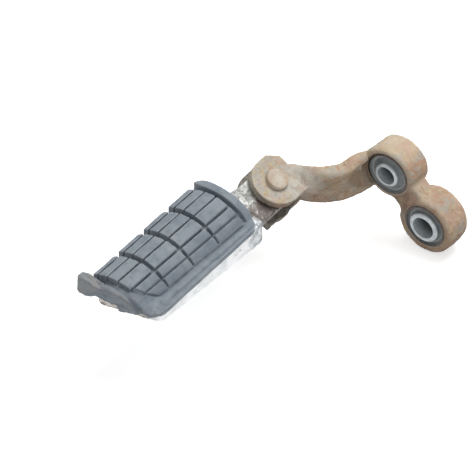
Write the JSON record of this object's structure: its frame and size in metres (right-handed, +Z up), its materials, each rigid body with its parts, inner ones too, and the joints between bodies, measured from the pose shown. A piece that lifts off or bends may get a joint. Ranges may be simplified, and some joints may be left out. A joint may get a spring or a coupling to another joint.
{
  "type": "folding motorbike footrest",
  "caption": "Folding motorbike footrest: forged arm with rubber-bushed eyes, a pinned clevis, and a cast peg with a ribbed rubber foot pad that folds back and up.",
  "frame": {"origin": "middle of the upper bush bore, on its axis", "axes": "+X outward along both bolts and the peg, +Y forward along the bike, +Z up, square to the foot pad's base"},
  "size_m": [0.1884, 0.112, 0.0575],
  "materials": {
    "forged_arm": "bare forging with light brown rust",
    "bush_steel": "rusted",
    "bush_rubber": "matt, aged",
    "sleeve_steel": "dull",
    "pin_steel": "dull, lightly rusted",
    "spring_steel": "dull",
    "cast_aluminium": "bare casting, scuffed and spotted",
    "pad_rubber": "matt, worn",
    "screw_steel": "zinc, dull"
  },
  "bodies": {
    "bracket": {"bracket_arm": "forged_arm", "upper_bush_shell": "bush_steel", "upper_bush_rubber": "bush_rubber", "upper_bush_sleeve": "sleeve_steel", "lower_bush_shell": "bush_steel", "lower_bush_rubber": "bush_rubber", "lower_bush_sleeve": "sleeve_steel", "pivot_pin": "pin_steel", "pivot_washer": "pin_steel", "split_pin": "pin_steel", "return_spring": "spring_steel"},
    "peg": {"peg_body": "cast_aluminium", "foot_pad": "pad_rubber", "pad_screws": "screw_steel", "pad_washers": "screw_steel", "pad_nuts": "screw_steel"}
  },
  "joints": [
    {"name": "peg_fold", "type": "hinge", "parent": "bracket", "child": "peg", "pos_m": [0.05, -0.0435, -0.003], "axis": [0, -0.454, -0.891], "range_deg": [0, 90], "stiffness_Nm_per_rad": 0.06, "springref_deg": -34.38, "deforming": ["return_spring"]}
  ]
}
